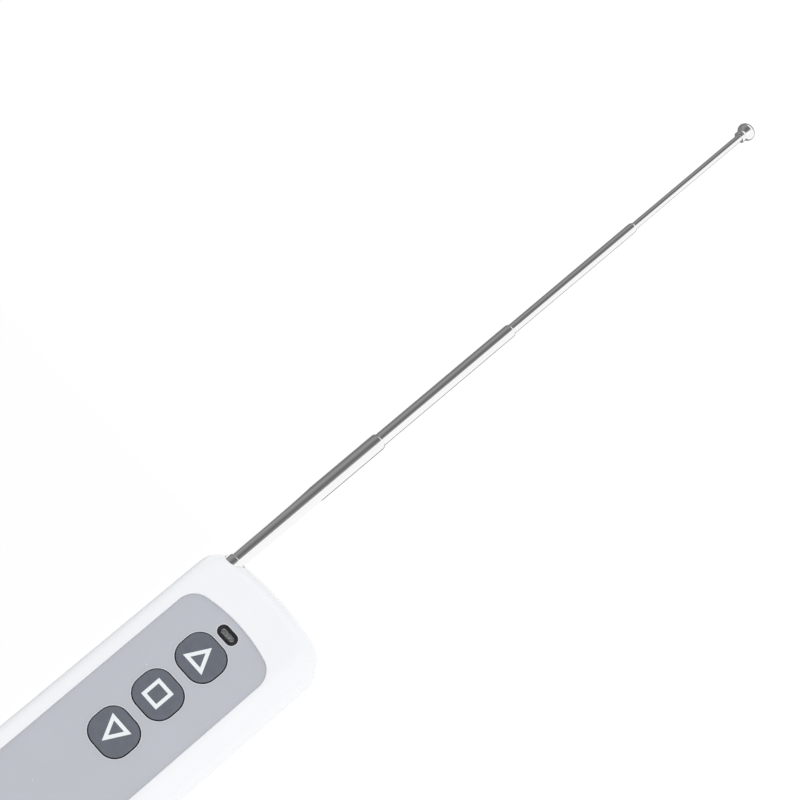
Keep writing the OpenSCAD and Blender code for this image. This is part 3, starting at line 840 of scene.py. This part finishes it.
def face_panel():
    """Flat sheet with softly broken edges, holes for the keys and the light, and a painted
    highlight round each hole.
    """
    s = Shell()
    # The middle number is the width of the painted highlight round each hole.
    soft, highlight_rim_w, spread = 0.1, 0.25, 0.04
    levels = [(0, SEAT_Z), (0, PANEL_HIGH.z - soft), (-soft * 0.3, PANEL_HIGH.z - soft * 0.3),
              (-soft, PANEL_HIGH.z)]
    outer = [s.ring(panel_loop(g + spread), z) for g, z in levels]
    s.stack(outer)
    tops, bottoms = [outer[-1]], [outer[0]]
    for hole in [lambda g, k=k: key_hole(k, g) for k in KEYS] + [bezel_hole]:
        rings = [s.ring(hole(-g), z) for g, z in levels]
        s.stack(rings)
        tops.append(painted_highlight_ring(s, rings[-1], hole(highlight_rim_w)))
        bottoms.append(rings[0])
    s.fill(*tops)
    s.fill(*bottoms)
    return s.bm


# Keys ---------------------------------------------------------------------------------

def symbol_loops(key):
    """Outer and inner edge of a key's symbol, from the box of its node."""
    low, high = box(key + "_symbol")
    w, h = high.x - low.x, high.y - low.y
    cx, cy = (low.x + high.x) / 2, (low.y + high.y) / 2
    if key == "stop":
        corners = ((-1, -1), (1, -1), (1, 1), (-1, 1))
        return [[(cx + sx * (w / 2 - d), cy + sy * (h / 2 - d)) for sx, sy in corners]
                for d in (0, STROKE)]
    up = 1 if key == "up" else -1
    k = 1 - STROKE * (w + 2 * math.hypot(h, w / 2)) / (w * h)
    base = cy - up * h / 2
    loops = []
    for f, d in ((1, 0), (k, STROKE)):
        half, foot = w / 2 * f, base + up * d
        loops.append([(cx - half, foot), (cx + half, foot), (cx, base + up * (d + h * f))])
    return loops if up > 0 else [loop[::-1] for loop in loops]


def cap_levels(low_z, high_z):
    """Levels of a cap from its foot up: (inset from the flange, corner radius, height)."""
    flange_top = low_z + FLANGE_T
    cap_r = KEY_CORNER - KEY_GAP
    soft, edge, dome, dome_reach = 0.15, 0.3, 0.12, 1.4
    levels = [(soft, KEY_CORNER - soft, low_z), (0, KEY_CORNER, low_z + soft),
              (0, KEY_CORNER, flange_top - soft), (soft, KEY_CORNER - soft, flange_top),
              (FLANGE_OVERLAP, cap_r, flange_top)]
    for step in range(9):
        a = math.radians(step * 90 / 8)
        inset = edge * (1 - math.cos(a))
        z = high_z - dome - edge + edge * math.sin(a)
        levels.append((FLANGE_OVERLAP + inset, cap_r - inset, z))
    for inset in (0.6, 1.0, dome_reach):
        fall = dome * ((dome_reach - inset) / dome_reach) ** 2
        levels.append((FLANGE_OVERLAP + inset, cap_r - inset, high_z - fall))
    return levels


def key_cap(key):
    """Cap with a rounded top edge, a retaining flange and a pocket for its symbol."""
    low, high = box(key + "_key")
    cx, cy = key_centre(key)
    w, h = high.x - low.x, high.y - low.y
    s = Shell()
    rings = [s.ring(round_rect(cx, cy, w - 2 * inset, h - 2 * inset, r), z)
             for inset, r, z in cap_levels(low.z, high.z)]
    s.stack(rings)
    s.fill(rings[0])
    outer, inner = symbol_loops(key)
    floor = high.z - SYMBOL_DEPTH
    lip_out, lip_in = s.ring(outer, high.z), s.ring(inner, high.z)
    floor_out, floor_in = s.ring(outer, floor), s.ring(inner, floor)
    s.bridge(lip_out, floor_out)
    s.bridge(lip_in, floor_in)
    s.fill(rings[-1], lip_out)
    s.fill(lip_in)
    s.fill(floor_out, floor_in)
    return s.bm


# Status light -------------------------------------------------------------------------

def slot(s, size, inset, z):
    """Ring of a slot round the light, drawn in by an inset."""
    w, h = size
    return s.ring(stadium(0, LED_Y, w - 2 * inset, h - 2 * inset), z)


def led_bezel():
    """Black ring with a rounded rim round the light."""
    s = Shell()
    size = (BEZEL_HIGH.x - BEZEL_LOW.x, BEZEL_HIGH.y - BEZEL_LOW.y)
    lens_w = LENS_HIGH.x - LENS_LOW.x - LENS_STEP
    play, rim = 0.1, 0.4
    r = (size[0] - lens_w - play) / 4
    rings = [slot(s, size, 0, BEZEL_LOW.z)]
    for a in fan(180, 15):
        z = BEZEL_HIGH.z - rim + rim * math.sin(a)
        rings.append(slot(s, size, r * (1 - math.cos(a)), z))
    rings.append(slot(s, size, 2 * r, BEZEL_LOW.z))
    s.stack(rings + [rings[0]])
    return s.bm


def led_lens():
    """Slot-shaped light with a flange at its foot and a domed top."""
    s = Shell()
    flange = (LENS_HIGH.x - LENS_LOW.x, LENS_HIGH.y - LENS_LOW.y)
    body = (flange[0] - LENS_STEP, flange[1] - LENS_STEP)
    flange_top = LENS_LOW.z + 1
    dome = 0.3
    rings = [slot(s, flange, 0, LENS_LOW.z), slot(s, flange, 0, flange_top),
             slot(s, body, 0, flange_top)]
    for a in fan(80, 10):
        z = LENS_HIGH.z - dome + dome * math.sin(a)
        rings.append(slot(s, body, dome * (1 - math.cos(a)), z))
    s.stack(rings)
    s.fill(rings[0])
    s.fill(rings[-1])
    return s.bm


# Antenna ------------------------------------------------------------------------------

def antenna_tube(node, inner_r, neck_r, next_r):
    """Drawn tube: stepped in at its foot over the bush, rolled in at its mouth."""
    low, high = box(node)
    r = (high.x - low.x) / 2
    mouth, roll = 1.1, 0.04
    mouth_r = next_r + roll
    lip = r - mouth_r - 0.12
    turn = math.radians(75)
    rim = [(r - lip * (1 - math.cos(a)) / (1 - math.cos(turn)),
            high.y - mouth + mouth * math.sin(a) / math.sin(turn)) for a in fan(75, 5)]
    foot = [(r, low.y)]
    if neck_r:
        foot = [(neck_r, low.y), (neck_r, low.y + BUSH_L), (r, low.y + BUSH_L)]
    profile = [(inner_r, low.y)] + foot + rim
    profile += [(mouth_r + roll, high.y), (mouth_r, high.y - 0.05), (mouth_r, high.y - 0.35),
                (inner_r, high.y - mouth + 0.2)]
    return turned(profile, closed=True)


def antenna_rod():
    """Solid last section with a turned-down foot."""
    low, high = box("antenna_rod")
    r, neck_r = (high.x - low.x) / 2, 1.02
    shoulder = low.y + BUSH_L
    return turned([(0, low.y), (neck_r, low.y), (neck_r, shoulder), (r, shoulder), (r, high.y),
                   (0, high.y)])


def antenna_tip():
    """Pull knob: a collar with a dark groove under a flattened ball with a domed end."""
    low, high = box("antenna_tip")
    ball_r = (high.x - low.x) / 2
    collar_r, collar_l, groove_r, soft = 1.8, 1.3, 1.5, 0.06
    start = low.y + collar_l
    waist = math.acos(groove_r / ball_r)
    height = high.y - start
    steps = 32
    ball = []
    for i in range(steps + 1):
        a = -waist + i * (math.pi / 2 + waist) / steps
        share = (math.sin(a) + math.sin(waist)) / (1 + math.sin(waist))
        ball.append((ball_r * math.cos(a), start + height * share))
    ball[-1] = (0, high.y)
    collar = [(0, low.y), (collar_r - 0.2, low.y), (collar_r - soft, low.y + soft),
              (collar_r, low.y + 0.22), (collar_r, start - 0.3), (collar_r - soft, start - 0.16),
              (groove_r, start - 0.1)]
    return turned(collar + ball)


# Screws -------------------------------------------------------------------------------

def cross_recess(s, cx, cy, z):
    """Mouth of a cross recess in a screw head; the tapering recess is made and closed below it."""
    arms = []
    for quarter in range(4):
        cos, sin = math.cos(math.pi / 2 * quarter), math.sin(math.pi / 2 * quarter)
        for x, y in ((1.1, -0.25), (1.1, 0.25), (0.25, 0.25)):
            arms.append((cx + x * cos - y * sin, cy + x * sin + y * cos))
    taper, depth = 0.45, 1
    deep = [(cx + (x - cx) * taper, cy + (y - cy) * taper) for x, y in arms]
    mouth, floor = s.ring(arms, z), s.ring(deep, z + depth)
    s.bridge(mouth, floor)
    s.fill(floor)
    return mouth


def screw_profile(low_z, high_z):
    """Radius and height from the rounded head down the threaded shank to the point."""
    head_r, head_h, shank_r, core_r, pitch = 2.0, 1.6, 1.2, 0.95, 0.9
    rings = [(head_r - 0.35 * (1 - math.sin(a)), low_z + 0.5 * (1 - math.cos(a)))
             for a in fan(90, 15)]
    rings += [(head_r, low_z + head_h), (shank_r, low_z + head_h)]
    z = low_z + head_h + 0.5
    while z < high_z - 1.6:
        rings += [(core_r, z), (core_r, z + 0.35), (shank_r, z + 0.5), (shank_r, z + 0.55),
                  (core_r, z + 0.7)]
        z += pitch
    return rings + [(core_r, high_z - 1.2), (0.3, high_z)]


def case_screws():
    """Four tapping screws with a cross recess, driven in from the back."""
    low, high = box("case_screws")
    s = Shell()
    for cx, cy in SCREWS:
        mouth = cross_recess(s, cx, cy, low.z)
        rings = [s.ring(arc(cx, cy, r, 0, 360, 40)[:-1], z)
                 for r, z in screw_profile(low.z, high.z)]
        s.stack(rings)
        s.fill(rings[0], mouth)
        s.fill(rings[-1])
    return s.bm


# Making the object --------------------------------------------------------------------

housing = housing_plastic()
bright = chrome()
keys_material = key_plastic()

piece("front_shell", front_cover(), "front_cover", housing)
piece("rear_shell", rear_cover(), "rear_cover", housing)
sheet = piece("face_sheet", face_panel(), "face_panel", panel_plastic())
# The sheet's second material paints a highlight round its holes.
sheet.data.materials.append(painted_highlight_rim())
for key in KEYS:
    piece(key + "_cap", key_cap(key), key + "_key", keys_material)
piece("light_bezel", led_bezel(), "led_bezel", bezel_plastic())
piece("light_lens", led_lens(), "status_led", led_epoxy())
# Tube pieces: inner radius, radius of the necked foot and radius of what slides in it
TUBES = {"base_tube": ("antenna_base_tube", 2.65, 0, 2.5),
         "tube_1": ("antenna_tube_1", 2.2, 2.38, 2.0),
         "tube_2": ("antenna_tube_2", 1.75, 1.92, 1.55),
         "tube_3": ("antenna_tube_3", 1.3, 1.47, 1.1)}
for name, (node, inner_r, neck_r, next_r) in TUBES.items():
    piece(name, antenna_tube(node, inner_r, neck_r, next_r), node, bright)
piece("rod", antenna_rod(), "antenna_rod", bright)
piece("tip_knob", antenna_tip(), "antenna_tip", bright)
piece("screw_set", case_screws(), "case_screws", screw_steel())


def finish_node(node, material, edge=0.0):
    """Gives a carried-over CAD node its material and, where an edge is given, softly broken edges.
    """
    obj = frame["nodes"][node]
    obj.data.materials.clear()
    obj.data.materials.append(material)
    if edge:
        bevel = obj.modifiers.new("edges", "BEVEL")
        bevel.width = edge * MM
        bevel.segments = 2
        bevel.limit_method = "ANGLE"
        bevel.angle_limit = math.radians(40)


symbol_white = symbol_plastic()
tin = tinned_metal()
brass_metal = brass()
finish_node("battery_door", housing)
finish_node("door_foam", foam())
for key in KEYS:
    finish_node(key + "_symbol", symbol_white)
    switch_plastic = moulded_black(key + "_switch_plastic", 0.03, ("X", 0, 3.02))
    finish_node(key + "_switch", switch_plastic, 0.08)
    finish_node(key + "_plunger", moulded_black(key + "_plunger_plastic", 0.05), 0.1)
for node in ("led_leads", "antenna_tab", "saw_resonator", "battery_terminals", "snap_contacts"):
    finish_node(node, tin, 0.08)
for node in ("antenna_foot", "tube_1_bush", "tube_2_bush", "tube_3_bush", "rod_bush"):
    finish_node(node, brass_metal)
finish_node("antenna_screw", screw_steel(), 0.06)
finish_node("circuit_board", board_mask(), 0.06)
# The last number is the half length of the bare body; the tinned legs and ends lie past it.
chip = moulded_black("chip_epoxy", 0.03, ("X", middle("encoder_chip").x, 3.72))
transistor = moulded_black("transistor_epoxy", 0.035, ("Y", middle("rf_transistor").y, 1.27))
resistors = ceramic("resistor_glaze", (0.02, 0.02, 0.022), "X", middle("chip_resistors").x, 0.72)
row_y = middle("chip_capacitors").y
capacitors = ceramic("capacitor_ceramic", (0.42, 0.31, 0.19), "Y", row_y, 0.7)
finish_node("encoder_chip", chip, 0.1)
finish_node("rf_transistor", transistor, 0.08)
finish_node("loading_coil", copper_wire())
finish_node("electrolytic_capacitor", capacitor_sleeve(), 0.3)
finish_node("chip_resistors", resistors, 0.05)
finish_node("chip_capacitors", capacitors, 0.06)
finish_node("battery", battery_jacket(), 0.5)
finish_node("battery_snap", moulded_black("snap_plastic", 0.03), 0.35)
finish_node("red_lead", insulation("red_insulation", (0.5, 0.02, 0.015)))
finish_node("black_lead", insulation("black_insulation", (0.015, 0.015, 0.016)))


# Studio -------------------------------------------------------------------------------

def stage_plane(name, corners, material):
    """Flat stage card through four corners, in metres."""
    mesh = bpy.data.meshes.new(name)
    mesh.from_pydata(corners, [], [tuple(range(len(corners)))])
    mesh.materials.append(material)
    obj = bpy.data.objects.new(name, mesh)
    bpy.context.scene.collection.objects.link(obj)
    return obj


def floor_material():
    """White floor that glows evenly, so that shadows on it stay faint."""
    p = Paint("floor", (0.03, 0.03, 0.03), 1.0)
    p.color(p.mix(p.noise(60, 3), (0.028, 0.028, 0.028), (0.032, 0.032, 0.032)))
    p.shader.inputs["Specular IOR Level"].default_value = 0
    p.shader.inputs["Emission Color"].default_value = (1, 1, 1, 1)
    p.shader.inputs["Emission Strength"].default_value = 0.985
    return p.material


def flag_material(shade):
    """Dim even cloth."""
    material = bpy.data.materials.new("flag")
    material.use_nodes = True
    nodes = material.node_tree.nodes
    nodes.remove(nodes["Principled BSDF"])
    glow = nodes.new("ShaderNodeEmission")
    glow.inputs["Color"].default_value = (shade * 1.01, shade, shade * 1.02, 1)
    surface = nodes["Material Output"].inputs["Surface"]
    material.node_tree.links.new(glow.outputs["Emission"], surface)
    return material


def flag(name, corners, material):
    """Stage card that only reflections see."""
    obj = stage_plane(name, corners, material)
    obj.visible_camera = False
    obj.visible_diffuse = False
    obj.visible_shadow = False
    obj.visible_transmission = False
    return obj


def floor_strip(name, xs, ys, material):
    """Flag that lies just over the floor."""
    z = 0.0004
    (x0, x1), (y0, y1) = xs, ys
    return flag(name, [(x0, y0, z), (x1, y0, z), (x1, y1, z), (x0, y1, z)], material)


def make_flags():
    """Cloth over the left half of the room, bent round the antenna's line, and strips on the
    floor. The left strip also takes light off the housing's left side."""
    reach = 0.45
    y0, y1 = -0.6, 0.9
    x0, z0 = AXIS_X * MM, AXIS_Z * MM
    shades = [0.21, 0.24, 0.3, 0.31, 0.29, 0.25, 0.22, 0.17, 0.14, 0.16, 0.23, 0.29]
    turns = [math.radians(-94 + 10 * i) for i in range(len(shades) + 1)]
    rim = [(x0 + reach * math.sin(t), z0 + reach * math.cos(t)) for t in turns]
    for i, ((xa, za), (xb, zb), shade) in enumerate(zip(rim, rim[1:], shades)):
        corners = [(xa, y0, za), (xb, y0, zb), (xb, y1, zb), (xa, y1, za)]
        flag(f"flag_{i}", corners, flag_material(shade))
    far, near = x0 - reach, x0 + 0.015
    beside = -HALF_W * MM - 0.006
    top = HALF_L * MM + 0.002
    cloth = flag_material(0.21)
    left = floor_strip("flag_floor_left", (far, beside), (y0, top), cloth)
    left.visible_diffuse = True
    floor_strip("flag_floor_far", (far, near), (top + 0.03, y1), cloth)


def area_light(name, place, aim, size, power, color):
    data = bpy.data.lights.new(name, "AREA")
    data.shape = "SQUARE"
    data.size = size
    data.energy = power
    data.color = color
    obj = bpy.data.objects.new(name, data)
    obj.location = place
    obj.rotation_mode = "QUATERNION"
    obj.rotation_quaternion = (Vector(aim) - Vector(place)).to_track_quat("-Z", "Y")
    bpy.context.scene.collection.objects.link(obj)


def make_world():
    world = bpy.data.worlds.new("studio")
    bpy.context.scene.world = world
    world.use_nodes = True
    background = world.node_tree.nodes["Background"]
    background.inputs["Color"].default_value = (1, 1, 1, 1)
    background.inputs["Strength"].default_value = 1.0


def make_camera():
    """Long lens from above the right of the keys, rolled so that the antenna climbs to the
    upper right."""
    azimuth, elevation, roll = math.radians(38.16), math.radians(68.04), math.radians(9.78)
    aim_y, aside, distance = 0.1353, 7, 0.6023
    aim = Vector(((AXIS_X - aside) * MM, aim_y, PART_Z * MM))
    level = Vector((math.cos(azimuth), math.sin(azimuth), 0))
    away = Vector((math.sin(azimuth), -math.cos(azimuth), 0))
    back = away * math.cos(elevation) + Vector((0, 0, math.sin(elevation)))
    right = level * math.cos(roll) + back.cross(level) * math.sin(roll)
    up = back.cross(right)
    turn = Matrix((right, up, back)).transposed().to_4x4()
    data = bpy.data.cameras.new("camera")
    data.sensor_width = 36
    data.lens = 94.5
    camera = bpy.data.objects.new("camera", data)
    camera.matrix_world = Matrix.Translation(aim + back * distance) @ turn
    bpy.context.scene.collection.objects.link(camera)
    bpy.context.scene.camera = camera


def make_floor():
    half, z = 3, -0.00005
    corners = [(-half, -half, z), (half, -half, z), (half, half, z), (-half, half, z)]
    stage_plane("floor", corners, floor_material())


make_floor()
make_flags()
make_world()
area_light("soft_right", (0.5, -0.1, 0.55), (0, 0.05, 0), 0.6, 0.1, (1, 0.9, 0.8))
make_camera()
bpy.context.scene.view_settings.view_transform = "Standard"
